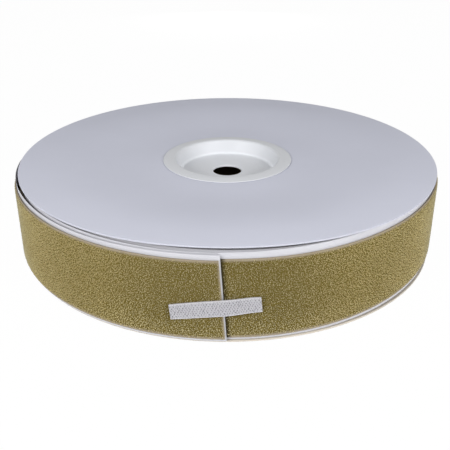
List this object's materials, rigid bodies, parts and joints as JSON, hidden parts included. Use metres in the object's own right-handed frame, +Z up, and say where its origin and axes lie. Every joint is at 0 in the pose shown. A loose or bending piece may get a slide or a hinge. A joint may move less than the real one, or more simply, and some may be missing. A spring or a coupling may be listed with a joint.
{
  "type": "hook and loop tape roll",
  "caption": "Flat roll of adhesive-backed loop tape, wound with its release liner on a card core between card discs with dished hub plugs; a hook strip holds the free end.",
  "frame": {"origin": "on the roll's axis, at the underside of the lower disc's rim, on which the roll lies", "axes": "+Z up along the roll's axis; -Y towards the side where the tape's cut end and the closing strip are; +X to the right seen from there"},
  "size_m": [0.2972, 0.2982, 0.0606],
  "materials": {
    "core_card": "matte",
    "flange_card": "satin",
    "hub_plastic": "satin",
    "loop_tape": "matte",
    "liner": "satin",
    "hook_strip": "matte"
  },
  "bodies": {
    "spool": {"core_tube": "core_card", "upper_flange": "flange_card", "lower_flange": "flange_card", "upper_hub_plug": "hub_plastic", "lower_hub_plug": "hub_plastic", "inner_turns": "loop_tape", "loop_tape_turns": "loop_tape", "liner_turns": "liner"},
    "liner_end": {"liner_tail": "liner", "tape_tail_root": "loop_tape"},
    "tape_end": {"tape_tail": "loop_tape"},
    "strip": {"closing_strip": "hook_strip"}
  },
  "joints": [
    {"name": "tail_lift", "type": "hinge", "parent": "spool", "child": "liner_end", "pos_m": [-0.08746, -0.12038, 0.0285], "axis": [0, 0, -1], "range_deg": [0, 45]},
    {"name": "liner_peel", "type": "hinge", "parent": "liner_end", "child": "tape_end", "pos_m": [-0.06055, -0.136, 0.0285], "axis": [0, 0, -1], "range_deg": [0, 40]},
    {"name": "strip_peel", "type": "hinge", "parent": "tape_end", "child": "strip", "pos_m": [-0.03275, -0.14559, 0.0229], "axis": [0, 0, -1], "range_deg": [0, 75]}
  ]
}
